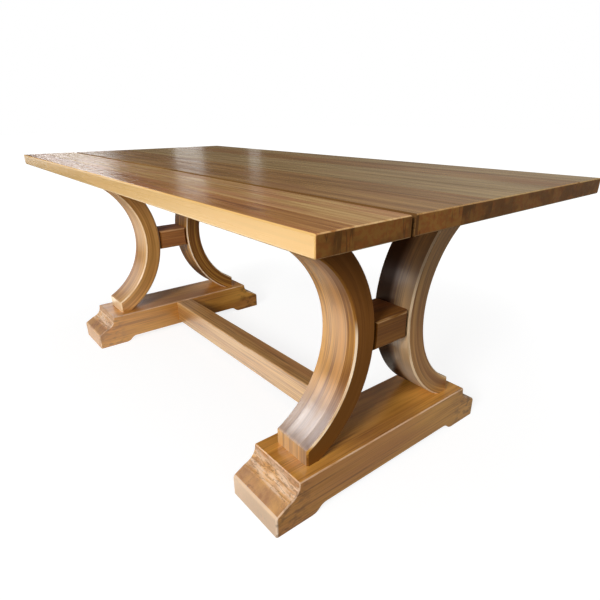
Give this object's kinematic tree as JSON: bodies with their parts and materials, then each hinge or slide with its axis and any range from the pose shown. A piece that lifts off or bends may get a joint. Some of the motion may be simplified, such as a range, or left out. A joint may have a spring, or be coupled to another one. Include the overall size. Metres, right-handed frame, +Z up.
{
  "type": "trestle dining table",
  "caption": "Plank-topped dining table on two trestles of back-to-back C-shaped legs with moulded, arched feet and a low stretcher between them.",
  "frame": {"origin": "on the floor under the middle of the top", "axes": "+X along the top's length, +Y from the front long side (with the open board joint) to the back, +Z up"},
  "size_m": [1.85, 0.9, 0.76],
  "materials": {
    "top_wood": "satin lacquer",
    "leg_wood": "satin lacquer",
    "foot_wood": "satin lacquer",
    "rail_wood": "satin lacquer",
    "hidden_wood": "planed, unfinished",
    "dowel_wood": "unfinished",
    "zinc_steel": "zinc plated"
  },
  "bodies": {
    "root": {"top_board_1": "top_wood", "top_board_2": "top_wood", "top_board_3": "top_wood", "top_board_4": "top_wood", "top_board_5": "top_wood", "top_board_6": "top_wood", "top_board_7": "top_wood", "top_board_8": "top_wood", "foot_right": "foot_wood", "spacer_block_right": "leg_wood", "bearer_right": "hidden_wood", "leg_right_front": "leg_wood", "leg_right_back": "leg_wood", "foot_left": "foot_wood", "spacer_block_left": "leg_wood", "bearer_left": "hidden_wood", "leg_left_front": "leg_wood", "leg_left_back": "leg_wood", "spacer_tenons": "dowel_wood", "stretcher_pegs": "dowel_wood", "top_splines": "dowel_wood", "open_joint_spline": "dowel_wood", "stretcher": "rail_wood"}
  },
  "joints": []
}
